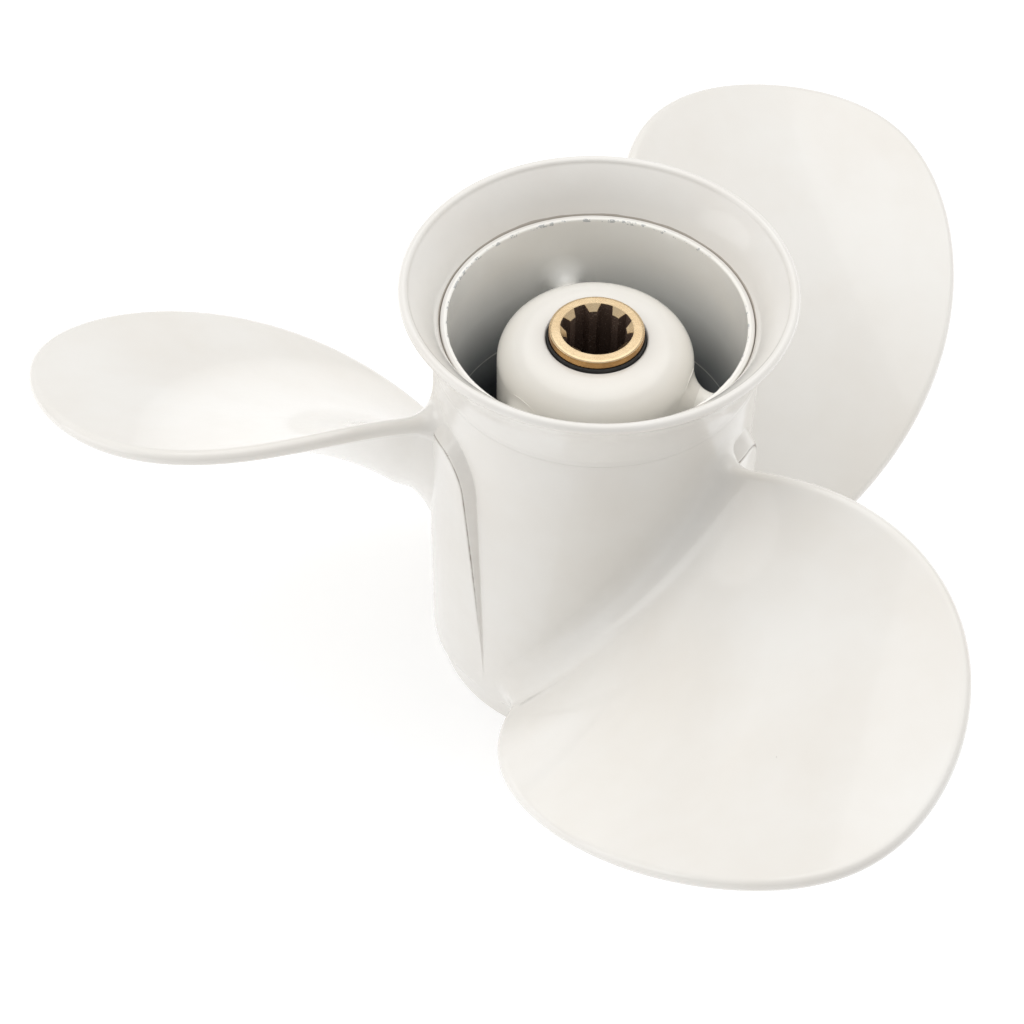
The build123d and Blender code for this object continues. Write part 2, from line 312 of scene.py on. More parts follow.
# The parting step, called a ledge here, stands beside each blade. Its bearing is measured from the
# middle of the blade's root. Pairs of points are (outward, up) from the band or from the seat.
barrelSet = {
    "bore": 29.45, "socket": 30.0, "socketDepth": 20.0, "wall": 32.6, "band": 32.1, "bandHeight": 5.4,
    "bandPoints": ((-0.3, 0.0), (0.0, 0.3), (0.1, 2.6), (0.25, 5.25)),
    "seat": 87.3, "seatPoints": ((-0.03, -0.04), (-0.08, -0.01)), "seatGap": 0.3,
    "spigot": 30.9, "spigotGap": 0.02, "spigotFoot": 1.0, "edgeRound": 0.35, "landMargin": 0.1,
    "boreMargin": 0.5, "boreRows": 40, "socketRows": 8, "socketRound": 0.4,
    "columnStops": (3.0, 98.0, 110.5), "columnCounts": (7, 44, 16, 50),
    "rowStops": (9.0, 62.0, 81.0), "rowCounts": (6, 40, 90), "topRows": 8,
    "ledgeFoot": 9.5, "ledgeTop": 79.6, "ledgeRise": 2.5, "ledgeFlat": 1.2, "ledgeFlatReach": 16.0,
    "ledgeFace": 2.2, "ledgeFaceLeast": 0.15, "ledgeFacePower": 1.6, "ledgeSquash": 0.65,
    "ledgeBearing": 67.0, "ledgeLean": 4.2, "ledgeLeanPower": 1.18, "ledgeCorner": 8.0,
    "ledgeRamp": 0.8, "rootBlend": 4.0, "rootMargin": 12.0, "rootReach": 20.0,
    "crackDepth": 0.22, "crackOffset": 0.1, "crackWidth": 0.16, "crackShadeWeight": 1.0,
    "crackGain": 2.5, "crackShift": 0.3, "raisedGain": 4.0, "faceShadeWeight": 0.10,
    "faceFoot": 0.3, "faceEdge": 0.2, "sharpAngle": 40,
}
# The bore's rim is left rough where the core was broken out, more in some patches than in others.
chipSet = {
    "depth": 0.9, "rimWidth": 0.45, "spared": 0.12, "seed": 5, "waves": 26, "turns": (30, 150),
    "patchLeast": 0.25, "patchGain": 2.0, "patchShift": 0.3, "patchSeed": 9, "patchWaves": 5,
    "patchTurns": (2, 7), "outward": 0.8,
}


def riseShare(height):
    # share of the way up a ledge
    s = barrelSet
    return np.clip((height - s["ledgeFoot"]) / (s["ledgeTop"] - s["ledgeFoot"]), 0, 1)


def ledgeLine(height):
    # bearing of a ledge: it falls by the lean times a power of the share of its height
    s = barrelSet
    return s["ledgeBearing"] - s["ledgeLean"] * riseShare(height) ** s["ledgeLeanPower"]


def ledgeRelief(bearing, height):
    # height of the raised side, a ramp over the step's face from a rounded corner, and the painted shade on
    # it;
    # distances from the top edge are squashed, which makes the face wider there
    s = barrelSet
    arcLength = np.radians(ledgeLine(height) - bearing) * s["wall"]
    below = (s["ledgeTop"] - height) * s["ledgeSquash"]
    p, q = s["ledgeCorner"] - arcLength, s["ledgeCorner"] - below
    corner = s["ledgeCorner"] - np.hypot(np.maximum(p, 0), np.maximum(q, 0))
    inside = np.where((p > 0) & (q > 0), corner, np.minimum(arcLength, below))
    rise = riseShare(height)
    face = s["ledgeFaceLeast"] + s["ledgeFace"] * rise ** s["ledgeFacePower"]
    level = s["ledgeRise"] * rise
    level = level + (s["ledgeFlat"] - level) * smoothStep((inside - face) / s["ledgeFlatReach"])
    level *= smoothStep((height - s["bandHeight"]) / s["ledgeRamp"])
    # only the forward side of the blade stands proud; the change lies under the blade's root
    pitch, rootHeight, halfAngle = (bladeSet[key][0] for key in ("pitch", "height", "halfAngle"))
    chord = rootHeight + pitch * bearing / 360
    foot = rootHeight - pitch * halfAngle / 360
    level = level * smoothStep((np.maximum(chord, foot) - height) / s["rootBlend"] + 0.5)
    level *= smoothStep((bearing + halfAngle + s["rootMargin"]) / s["rootReach"])
    # a fine crack follows the step's outer edge, with painted shade in it and a little painted shade on the
    # step's face
    deepening = smoothStep(rise * s["crackGain"] - s["crackShift"])
    crack = deepening * bell(inside - face - s["crackOffset"], s["crackWidth"])
    raised = smoothStep(level * s["raisedGain"] - 1)
    onFace = smoothStep(inside / s["faceFoot"] + 0.5) * smoothStep((face - inside) / s["faceEdge"] + 0.5)
    paintedShade = raised * np.maximum(crack * s["crackShadeWeight"], onFace * s["faceShadeWeight"])
    return level * np.clip(inside / face, 0, 1) - s["crackDepth"] * crack * raised, paintedShade


def chipFall(radius, angle):
    # how far the bore's rim has crumbled: a bell about the bore times the low parts of a wander
    s = chipSet
    low = np.minimum(wander(angle, s["seed"], s["waves"], s["turns"]) + s["spared"], 0) * s["depth"]
    patch = wander(angle, s["patchSeed"], s["patchWaves"], s["patchTurns"])
    patch = smoothStep(patch * s["patchGain"] + s["patchShift"])
    patch = s["patchLeast"] + (1 - s["patchLeast"]) * patch
    return bell(radius - barrelSet["bore"], s["rimWidth"])[:, None] * low * patch


def barrelPiece(material):
    # a closed profile carried round the shaft; on the outside its columns lean with the ledges, crowd
    # beside them and are pushed out by the relief
    s = barrelSet
    top, seat, bore, e = cadTop("barrel"), s["seat"], s["bore"], s["edgeRound"]
    sector = 360 / bladeSet["count"]
    near = spaced((0, *s["columnStops"], sector), s["columnCounts"])
    bearing = np.concatenate([near + sector * k for k in range(bladeSet["count"])])
    flatAngle = bearing + s["ledgeBearing"] - sector
    upper = np.linspace(s["rowStops"][-1], seat - s["seatGap"], s["topRows"])
    heights = np.concatenate([spaced((s["bandHeight"], *s["rowStops"]), s["rowCounts"]), upper])
    outerZ = heights[:, None]
    relative = (near - sector)[None, :] + ledgeLine(outerZ)
    relief, paintedShade = (np.tile(part, (1, bladeSet["count"])) for part in ledgeRelief(relative, outerZ))
    outer = turned(s["wall"] + relief, flatAngle + ledgeLine(outerZ) - s["ledgeBearing"], outerZ)
    topLean = ledgeLine(np.array(seat)) - s["ledgeBearing"]

    def ring(profile, lean):
        # the profile at every column's bearing
        return turned(profile[:, :1], flatAngle + lean, profile[:, 1:])

    spigot = s["spigot"] - s["spigotGap"]
    band = np.array(s["bandPoints"]) + (s["band"], 0)
    shoulder = np.concatenate([np.array(s["seatPoints"]) + (s["wall"], seat), [(spigot, seat)]])
    landOuter, landInner = s["spigot"] - s["landMargin"] - e, bore + e + s["landMargin"]
    spigotTop = np.concatenate([
        run((spigot, seat + s["spigotFoot"]), (spigot, top - e), 4),
        arc((spigot - e, top - e), e, 15, 90, 5),
        run((landOuter, top), (landInner, top), 5)[1:-1],
        arc((bore + e, top - e), e, 90, 180, 6),
    ])
    crown = ring(spigotTop, topLean)
    fall = chipFall(spigotTop[:, 0], flatAngle)
    out = unit(crown[..., :2])
    crown[..., 2] += fall
    crown[..., :2] -= out * fall[..., None] * chipSet["outward"]
    socketEnd = (s["socket"], s["socketRound"])
    inner = np.concatenate([
        run((bore, top - e - s["boreMargin"]), (bore, s["socketDepth"]), s["boreRows"]),
        run((s["socket"], s["socketDepth"]), socketEnd, s["socketRows"]),
        [(s["socket"] + s["socketRound"], 0.0)],
    ])
    # the bore's columns lose their lean on the way down
    innerLean = np.where(np.arange(len(inner)) < s["boreRows"], topLean, 0)[:, None]
    inside = ring(inner, innerLean * smoothStep(inner[:, 1:] / top))
    points = np.concatenate([ring(band, 0), outer, ring(shoulder, topLean), crown, inside])
    # the ledges' painted shade values, for the outer rows only
    paintedShades = np.zeros(points.shape[:2])
    paintedShades[len(band): len(band) + len(heights)] = paintedShade
    faces = gridFaces(*points.shape[:2], closeRows=True, closeCols=True)
    return makePiece("barrelSkin", spunAbout(points, bladeSet["bearing"]), faces, material,
                     ["barrel"], "casting", s["sharpAngle"], paintedShades)


# outerBow and innerBow are how far the flare's sides bow, to the left of the way they are drawn
ringSet = {
    "lip": 1.0, "lipRadius": 37.8, "collar": 1.2, "outerBow": 1.0, "innerBow": -0.72, "jointRound": 0.07,
    "jointInset": 0.12, "jointGap": 0.01, "seamPoints": ((0.12, -0.1), (0.05, -0.8), (0.0, -2.0)),
    "seamTop": (0.25, 0.1), "columns": 256, "sharpAngle": 50,
}


def diffuserPiece(material):
    # from the seat up the outside of the flare, over the lip and down its inside to the spigot
    s = ringSet
    spigot, wall, seat = barrelSet["spigot"], barrelSet["wall"], barrelSet["seat"]
    barrelEnd = cadTop("barrel")
    joint, gap = s["jointRound"], s["jointGap"]
    lip = arc((s["lipRadius"], cadTop("diffuser_ring") - s["lip"]), s["lip"], -30, 165, 24)
    collarTop = seat + s["collar"]
    profile = np.concatenate([
        [(spigot, seat), (wall - s["jointInset"], seat + gap)],
        arc((wall - joint, seat + joint + gap), joint, -80, 0, 5),
        run((wall, seat + 0.4), (wall + gap, collarTop), 4),
        bowed((wall + 2 * gap, collarTop + 0.1), lip[0], s["outerBow"], 26)[:-1],
        lip,
        bowed(lip[-1], np.array(s["seamTop"]) + (spigot, barrelEnd), s["innerBow"], 26)[1:],
        np.array(s["seamPoints"]) + (spigot, barrelEnd),
    ])
    return turnedPiece("diffuserSkin", profile, s["columns"], material, "diffuser_ring", "casting",
                       s["sharpAngle"])


bossSet = {"radius": 19.7, "dome": 6.2, "hole": 10.05, "bore": 15.45, "flange": 4.4, "holeRound": 0.45,
           "footRound": 0.5, "columns": 192, "sharpAngle": 50}


def bossPiece(material):
    # from the forward end up the outside, over the domed shoulder and down through the hole and the bore
    s = bossSet
    top, foot = cadTop("hub_boss"), cadBottom("hub_boss")
    h, f, hole, bore = s["holeRound"], s["footRound"], s["hole"], s["bore"]
    shoulder = s["radius"] - s["dome"]
    profile = np.concatenate([
        [(bore, foot), (s["radius"] - f, foot)],
        arc((s["radius"] - f, foot + f), f, -60, 0, 4),
        run((s["radius"], foot + 2), (s["radius"], top - s["dome"]), 30),
        arc((shoulder, top - s["dome"]), s["dome"], 4, 90, 22),
        run((shoulder - 0.5, top), (hole + h, top), 6),
        arc((hole + h, top - h), h, 100, 180, 7),
        run((hole, top - h - 0.4), (hole, top - s["flange"]), 5),
        run((bore, top - s["flange"]), (bore, foot + 1), 20),
    ])
    return turnedPiece("bossSkin", profile, s["columns"], material, "hub_boss", "casting",
                       s["sharpAngle"])


bushSet = {"outer": 15.4, "inner": 9.55, "skin": 9.9, "shoulder": 85.5, "footBevel": 0.8,
           "shoulderBevel": 0.5, "columns": 128, "sharpAngle": 45}


def bushPiece(material):
    # a thick ring, with a thin skin that stands up round the sleeve through the boss's hole
    s = bushSet
    top, foot = cadTop("rubber_bush"), cadBottom("rubber_bush")
    outer, inner, skin, shoulder = s["outer"], s["inner"], s["skin"], s["shoulder"]
    profile = np.concatenate([
        [(inner, foot), (outer - s["footBevel"], foot), (outer, foot + s["footBevel"])],
        run((outer, foot + 2), (outer, shoulder - s["shoulderBevel"]), 12),
        [(outer - s["shoulderBevel"], shoulder), (skin + 0.1, shoulder)],
        run((skin, shoulder + 0.2), (skin, top - 0.3), 6),
        [(skin - 0.1, top - 0.05), (skin - 0.2, top), (inner, top - 0.1)],
    ])
    return turnedPiece("bushSkin", profile, s["columns"], material, "rubber_bush", "bush",
                       s["sharpAngle"])


# sunk is how far a rib's ends run into the boss and the barrel's wall
ribSet = {"count": 3, "bearing": 96.6, "thickness": 5.0, "fillet": 4.3, "sunk": 0.8,
          "filletSteps": 12, "roundSteps": 14, "sideSteps": 24, "sharpAngle": 50}


def ribPiece(number, material):
    # a section carried outward from the boss to the wall, wider near both by a fillet
    s = ribSet
    top, foot = cadTop("rib_1"), cadBottom("rib_1")
    hw = s["thickness"] / 2
    # section in (across, up): two straight sides joined by half circles
    a = np.radians(np.linspace(0, 180, s["roundSteps"] + 1))
    upper = np.stack([hw * np.cos(a), top - hw + hw * np.sin(a)], -1)
    lower = np.stack([-hw * np.cos(a), foot + hw - hw * np.sin(a)], -1)
    t = np.linspace(0, 1, s["sideSteps"] + 2)[1:-1, None]
    down, up = upper[-1] * (1 - t) + lower[0] * t, lower[-1] * (1 - t) + upper[0] * t
    section = np.concatenate([upper, down, lower, up])
    outward = np.roll(section, -1, 0) - np.roll(section, 1, 0)
    outward = unit(np.stack([outward[:, 1], -outward[:, 0]], -1))
    # fillet: R(1 - sin psi) wider at R(1 - cos psi) off the wall
    psi = np.radians(np.linspace(0, 90, s["filletSteps"] + 1))
    off, grow = s["fillet"] * (1 - np.cos(psi)), s["fillet"] * (1 - np.sin(psi))
    inner, outer = bossSet["radius"], barrelSet["bore"]
    radius = [[inner - s["sunk"]], inner + off, outer - off[::-1], [outer + s["sunk"]]]
    grow = np.concatenate([grow[:1], grow, grow[::-1], grow[:1]])[:, None]
    across = section[None, :, 0] + outward[None, :, 0] * grow
    height = section[None, :, 1] + outward[None, :, 1] * grow
    r = np.broadcast_to(np.concatenate(radius)[:, None], across.shape)
    points = np.stack([np.sqrt(r ** 2 - across ** 2), across, height], -1)
    rows, cols = points.shape[:2]
    faces = gridFaces(rows, cols, closeCols=True).tolist()
    # caps inside the two walls: a ladder of quads between the sides, turned round at the outer end
    for row, way in ((0, 1), (rows - 1, -1)):
        ids = row * cols + np.arange(cols)
        a, b = ids[: cols // 2], ids[::-1][: cols // 2]
        faces += np.stack([a[:-1], a[1:], b[1:], b[:-1]], -1)[:, ::way].tolist()
    bearing = s["bearing"] + 360 / s["count"] * number
    return makePiece(f"ribSkin{number + 1}", spunAbout(points, bearing), faces, material,
                     [f"rib_{number + 1}"], "casting", s["sharpAngle"])


# gapRoot and gapTip are the angles of a gap between two teeth, at its bottom and at the tooth tips
sleeveSet = {"teeth": 8, "bearing": 22.5, "root": 7.3, "tip": 6.0, "gapRoot": 18.5, "gapTip": 30.0,
             "flankSteps": 9, "outer": 9.5, "edge": 0.45, "mouth": 1.1, "mouthSteps": 9, "splineSteps": 24,
             "pilot": 7.6, "pilotDepth": 8.0, "pilotBevel": 0.3, "faceMargin": 0.25, "sharpAngle": 25}


def toothOutline():
    # one gap and one tooth as (bearing, radius): root arc, flank, tip arc, flank
    s = sleeveSet
    a, b, period = s["gapRoot"] / 2, s["gapTip"] / 2, 360 / s["teeth"]
    root, tip = s["root"], s["tip"]
    corners = [(-a, root), (a, root), (b, tip), (period - b, tip), (period - a, root)]
    return np.concatenate([run(p, q, s["flankSteps"])[:-1] for p, q in zip(corners, corners[1:])])


def sleevePiece(material):
    # plain pilot bore, then the splines, then a cone across the teeth's ends, then the end face and outside
    s = sleeveSet
    top, foot = cadTop("splined_sleeve"), cadBottom("splined_sleeve")
    one = toothOutline()
    angle = [one[:, 0] + 360 / s["teeth"] * k for k in range(s["teeth"])]
    angle = np.concatenate(angle) + s["bearing"]
    bore = np.tile(one[:, 1], s["teeth"])
    # the cone's radius rises from the tooth tips to the gaps' roots and cuts only what is inside it
    rise = np.linspace(0, 1, s["mouthSteps"])[:, None]
    mouthZ = top - s["mouth"] * (1 - rise)
    mouthR = np.maximum(bore, s["tip"] + (s["root"] - s["tip"]) * rise)
    splineZ = np.linspace(foot + s["pilotDepth"], top - s["mouth"] - 0.3, s["splineSteps"])[:, None]
    splineR = np.broadcast_to(bore, (s["splineSteps"], len(bore)))
    pilotZ = np.array([foot, foot + s["pilotBevel"], foot + s["pilotDepth"] - 0.02])[:, None]
    pilotR = np.array([s["pilot"] + s["pilotBevel"], s["pilot"], s["pilot"]])[:, None]
    pilotR = np.broadcast_to(pilotR, (len(pilotZ), len(bore)))
    inner = turned(np.concatenate([pilotR, splineR, mouthR]), angle,
                   np.concatenate([pilotZ, splineZ, mouthZ]))
    e, radius = s["edge"], s["outer"]
    outerProfile = np.concatenate([
        run((s["root"] + s["faceMargin"], top), (radius - e, top), 6),
        [(radius - e * 0.55, top - e * 0.2), (radius - e * 0.2, top - e * 0.55)],
        run((radius, top - e), (radius, foot + e), 20),
        [(radius - e, foot)],
    ])
    outer = turned(outerProfile[:, :1], angle, outerProfile[:, 1:])
    points = np.concatenate([inner, outer])
    # the profile climbs the bore and comes down outside, so the quads are turned round
    faces = gridFaces(*points.shape[:2], closeRows=True, closeCols=True)[:, ::-1]
    return makePiece("sleeveSkin", points, faces, material, ["splined_sleeve"], "drive_sleeve",
                     s["sharpAngle"])


def newMaterial(name):
    # an empty node material, with its shader and the object's own coordinates
    material = bpy.data.materials.new(name)
    material.use_nodes = True
    tree = material.node_tree
    place = tree.nodes.new("ShaderNodeTexCoord").outputs["Object"]
    return material, tree, tree.nodes["Principled BSDF"], place


def noise(tree, place, scale, detail=2.0, roughness=0.5):
    # cloudy noise from 0 to 1; scale is in lumps per metre
    node = tree.nodes.new("ShaderNodeTexNoise")
    node.inputs["Scale"].default_value = scale
    node.inputs["Detail"].default_value = detail
    node.inputs["Roughness"].default_value = roughness
    tree.links.new(place, node.inputs["Vector"])
    return node.outputs["Fac"]


def ramp(tree, value, stops):
    # colour that runs evenly between stops of (value, colour)
    node = tree.nodes.new("ShaderNodeValToRGB")
    band = node.color_ramp
    while len(band.elements) < len(stops):
        band.elements.new(0.5)
    for element, (place, colour) in zip(band.elements, stops):
        element.position = place
        element.color = (*colour, 1)
    tree.links.new(value, node.inputs["Fac"])
    return node.outputs["Color"]


def greyRamp(tree, value, low, high):
    # black up to low and white from high
    return ramp(tree, value, [(low, (0, 0, 0)), (high, (1, 1, 1))])


def mathNode(tree, kind, *values, clamp=False):
    # one sum on numbers or sockets, such as a times b plus c for MULTIPLY_ADD
    node = tree.nodes.new("ShaderNodeMath")
    node.operation = kind
    node.use_clamp = clamp
    for socket, value in zip(node.inputs, values):
        if isinstance(value, (int, float)):
            socket.default_value = value
        else:
            tree.links.new(value, socket)
    return node.outputs[0]


def mixColour(tree, factor, a, b, blend="MIX"):
    # a where the factor is 0 and b, blended with a, where it is 1
    node = tree.nodes.new("ShaderNodeMix")
    node.data_type = "RGBA"
    node.blend_type = blend
    for socket, value in ((node.inputs[0], factor), (node.inputs[6], a), (node.inputs[7], b)):
        if isinstance(value, tuple):
            socket.default_value = (*value, 1)
        elif isinstance(value, (int, float)):
            socket.default_value = value
        else:
            tree.links.new(value, socket)
    return node.outputs[2]


def bump(tree, height, strength, distance, before=None):
    # surface tilted by the slope of a height, on top of an earlier bump
    node = tree.nodes.new("ShaderNodeBump")
    node.inputs["Strength"].default_value = strength
    node.inputs["Distance"].default_value = distance
    tree.links.new(height, node.inputs["Height"])
    if before is not None:
        tree.links.new(before, node.inputs["Normal"])
    return node.outputs["Normal"]


def specks(tree, place, scale, size, chance):
    # small dots: near a cell's centre, and only in the few cells whose random value is high
    cells = tree.nodes.new("ShaderNodeTexVoronoi")
    cells.inputs["Scale"].default_value = scale
    tree.links.new(place, cells.inputs["Vector"])
    dot = mathNode(tree, "LESS_THAN", cells.outputs["Distance"], size)
    pick = tree.nodes.new("ShaderNodeSeparateColor")
    tree.links.new(cells.outputs["Color"], pick.inputs["Color"])
    rare = mathNode(tree, "GREATER_THAN", pick.outputs["Red"], 1 - chance)
    return mathNode(tree, "MULTIPLY", dot, rare)


def polarPlace(tree, place):
    # distance from the shaft's axis, the root of x^2 + y^2, and height
    apart = tree.nodes.new("ShaderNodeSeparateXYZ")
    tree.links.new(place, apart.inputs[0])
    x, y, z = apart.outputs
    squares = mathNode(tree, "ADD", mathNode(tree, "MULTIPLY", x, x), mathNode(tree, "MULTIPLY", y, y))
    return mathNode(tree, "SQRT", squares), z


# White enamel. Inside the bore it carries painted shade, darker further down, and painted light a little
# above its own colour near the rim, with less shade near the boss.
enamelLook = {
    "light": (0.845, 0.825, 0.785), "warm": (0.80, 0.765, 0.71), "cloudScale": 28,
    "roughness": 0.21, "roughSpread": 0.06, "roughScale": 900, "coat": 0.6, "coatRoughness": 0.05,
    "peelScale": 420, "peelBump": 0.06, "waveScale": 60, "waveBump": 0.12, "waveDepth": 0.0012,
    "fineDepth": 0.0002,
    "speck": (0.10, 0.085, 0.07), "speckScale": 210, "speckSize": 0.055, "speckChance": 0.004,
    "speckBump": 0.5,
    "insideRadius": 0.0301, "shadeRampFoot": 0.040, "shadeRampTop": 0.092,
    "insideLightAndShadeTones": [(0.0, (0.026, 0.031, 0.040)), (0.3, (0.115, 0.132, 0.155)), (0.5, (0.46, 0.50, 0.545)),
                    (0.72, (1.04, 1.08, 1.12)), (0.9, (1.14, 1.15, 1.15))],
    "bossLift": 0.024, "liftEnd": 0.0265, "liftReach": 0.006,
    "bossTone": (0.98, 0.975, 0.96), "bossReach": 0.0215,
    "coreLine": 0.064, "coreHalfWidth": 0.0002, "coreRadius": 0.029, "coreHighlightTone": (0.92, 0.95, 0.97),
    "coreHighlightStrength": 0.8,
    "chips": (0.56, 0.565, 0.56), "chipRadius": 0.02972, "chipDepth": 0.0007,
    "crackShadeTone": (0.17, 0.135, 0.10),
    "seamRadius": 0.0, "seamWidth": 0.0001, "seamDirt": (0.50, 0.455, 0.40),
}


def paintedInsideLightAndShade(tree, radius, height, look):
    # painted shade and light inside the barrel: a ramp of height, darker deeper in and lighter than the paint
    # near the rim, lifted near the boss, and white outside
    near = mathNode(tree, "MULTIPLY_ADD", radius, -1 / look["liftReach"], look["liftEnd"] / look["liftReach"],
                    clamp=True)
    lifted = mathNode(tree, "MULTIPLY_ADD", near, look["bossLift"], height)
    depth = look["shadeRampTop"] - look["shadeRampFoot"]
    share = mathNode(tree, "MULTIPLY_ADD", lifted, 1 / depth, -look["shadeRampFoot"] / depth, clamp=True)
    # painted shade deep in the bore, and painted light above the paint's own colour near its rim
    shade = ramp(tree, share, look["insideLightAndShadeTones"])
    # painted highlight: a lighter line where two cores of the die met, the painted shade mostly lifted along
    # it
    line = mathNode(tree, "COMPARE", height, look["coreLine"], look["coreHalfWidth"])
    line = mathNode(tree, "MULTIPLY", line, mathNode(tree, "GREATER_THAN", radius, look["coreRadius"]))
    line = mathNode(tree, "MULTIPLY", line, look["coreHighlightStrength"])
    shade = mixColour(tree, line, shade, look["coreHighlightTone"])
    # on the boss the painted light is capped at a tone a little duller than the outside's paint
    capped = mixColour(tree, 1.0, shade, look["bossTone"], "DARKEN")
    shade = mixColour(tree, mathNode(tree, "LESS_THAN", radius, look["bossReach"]), shade, capped)
    outside = mathNode(tree, "GREATER_THAN", radius, look["insideRadius"])
    return mixColour(tree, outside, shade, (1.0, 1.0, 1.0))


def enamelPaint(name, look):
    # gloss paint: two clouded tones times the painted shade and light inside, then specks, chips, painted
    # shade in the cracks and, on the ring, dirt in the seam over them
    material, tree, shader, place = newMaterial(name)
    radius, height = polarPlace(tree, place)
    cloud = greyRamp(tree, noise(tree, place, look["cloudScale"], 4, 0.6), 0.35, 0.75)
    colour = mixColour(tree, cloud, look["light"], look["warm"])
    # times the painted shade and light inside the barrel
    colour = mixColour(tree, 1.0, colour, paintedInsideLightAndShade(tree, radius, height, look), "MULTIPLY")
    dots = specks(tree, place, look["speckScale"], look["speckSize"], look["speckChance"])
    colour = mixColour(tree, dots, colour, look["speck"])
    # broken paint along the bore's rim
    rimTop = cadTop("barrel") * mm - look["chipDepth"]
    worn = mathNode(tree, "MULTIPLY", mathNode(tree, "LESS_THAN", radius, look["chipRadius"]),
                    mathNode(tree, "GREATER_THAN", height, rimTop))
    for scale, detail, roughness, above in ((620, 4, 0.75, 0.56), (34, 2, 0.5, 0.47)):
        spot = mathNode(tree, "GREATER_THAN", noise(tree, place, scale, detail, roughness), above)
        worn = mathNode(tree, "MULTIPLY", worn, spot)
    colour = mixColour(tree, worn, colour, look["chips"])
    # painted shade in the casting's fine cracks and on the ledges' step faces, from the mesh's values, in
    # patches
    paintedShade = tree.nodes.new("ShaderNodeAttribute")
    paintedShade.attribute_name = "paintedShade"
    patchy = mathNode(tree, "MULTIPLY_ADD", noise(tree, place, 260, 3, 0.6), 1.6, 0.1)
    crackShadeMix = mathNode(tree, "MULTIPLY", paintedShade.outputs["Fac"], patchy, clamp=True)
    colour = mixColour(tree, crackShadeMix, colour, look["crackShadeTone"])
    if look["seamRadius"]:
        # dirt in the joint, its width from -1 to 3 times seamWidth by noise
        width = mathNode(tree, "MULTIPLY_ADD", noise(tree, place, 45, 4, 0.7), look["seamWidth"] * 4,
                         -look["seamWidth"])
        seam = mathNode(tree, "COMPARE", radius, look["seamRadius"], width)
        colour = mixColour(tree, seam, colour, look["seamDirt"])
    tree.links.new(colour, shader.inputs["Base Color"])
    rough = mathNode(tree, "MULTIPLY_ADD", noise(tree, place, look["roughScale"], 2), look["roughSpread"],
                     look["roughness"])
    tree.links.new(rough, shader.inputs["Roughness"])
    fine = look["fineDepth"]
    normal = bump(tree, noise(tree, place, look["peelScale"], 2, 0.5), look["peelBump"], fine)
    waves = noise(tree, place, look["waveScale"], 2)
    normal = bump(tree, waves, look["waveBump"], look["waveDepth"], normal)
    normal = bump(tree, mathNode(tree, "SUBTRACT", 1.0, dots), look["speckBump"], fine, normal)
    tree.links.new(normal, shader.inputs["Normal"])
    shader.inputs["Coat Weight"].default_value = look["coat"]
    shader.inputs["Coat Roughness"].default_value = look["coatRoughness"]
    return material


brassLook = {
    "bright": (0.89, 0.69, 0.43), "dull": (0.79, 0.57, 0.33), "cloudScale": 350,
    "side": (0.50, 0.29, 0.115), "sideDark": (0.24, 0.13, 0.05), "patchScale": 160, "outer": 0.0094,
    "grime": (0.16, 0.11, 0.085), "glint": (0.22, 0.19, 0.16), "glintScale": 2600,
    "coneGap": 0.0001, "fade": 0.00015, "boreMargin": 0.0002, "greaseDull": 0.75,
    "roughness": 0.16, "roughSpread": 0.2, "scratchScale": 1500, "scratchBump": 0.16, "scratchDepth": 0.0001,
}


def brassMetal(look):
    # clouded brass, darker on its turned outside as painted shade, and black with grease in its bore
    material, tree, shader, place = newMaterial("machinedBrass")
    radius, height = polarPlace(tree, place)
    cloud = noise(tree, place, look["cloudScale"], 5, 0.65)
    colour = mixColour(tree, greyRamp(tree, cloud, 0.4, 0.8), look["bright"], look["dull"])
    # painted shade: the turned outside is given darker tones, in patches of two
    side = mathNode(tree, "GREATER_THAN", radius, look["outer"])
    patches = greyRamp(tree, noise(tree, place, look["patchScale"], 3, 0.6), 0.35, 0.65)
    colour = mixColour(tree, side, colour, mixColour(tree, patches, look["side"], look["sideDark"]))
    # the grease starts just below the cone that is cut across the teeth's ends
    root = sleeveSet["root"] * mm
    slope = sleeveSet["mouth"] / (sleeveSet["root"] - sleeveSet["tip"])
    coneFoot = cadTop("splined_sleeve") * mm - root * slope - look["coneGap"]
    cone = mathNode(tree, "MULTIPLY_ADD", radius, slope, coneFoot)
    depth = mathNode(tree, "SUBTRACT", cone, height)
    deep = mathNode(tree, "MULTIPLY", depth, 1 / look["fade"], clamp=True)
    bore = mathNode(tree, "LESS_THAN", radius, root + look["boreMargin"])
    grime = mathNode(tree, "MULTIPLY", deep, bore)
    glints = ramp(tree, noise(tree, place, look["glintScale"], 2, 0.6),
                  [(0.60, (0, 0, 0)), (0.70, look["glint"])])
    colour = mixColour(tree, grime, colour, mixColour(tree, 1.0, look["grime"], glints, "ADD"))
    tree.links.new(colour, shader.inputs["Base Color"])
    dulled = mathNode(tree, "MULTIPLY", grime, look["greaseDull"])
    tree.links.new(mathNode(tree, "SUBTRACT", 1.0, dulled), shader.inputs["Metallic"])
    rough = mathNode(tree, "MULTIPLY_ADD", cloud, look["roughSpread"], look["roughness"])
    tree.links.new(rough, shader.inputs["Roughness"])
    scratch = noise(tree, place, look["scratchScale"], 3, 0.7)
    scratched = bump(tree, scratch, look["scratchBump"], look["scratchDepth"])
    tree.links.new(scratched, shader.inputs["Normal"])
    return material


rubberLook = {"grainScale": 700, "dark": (0.010, 0.010, 0.011), "pale": (0.035, 0.034, 0.033),
              "smooth": 0.55, "rough": 0.8, "grainBump": 0.4, "grainDepth": 0.0002}


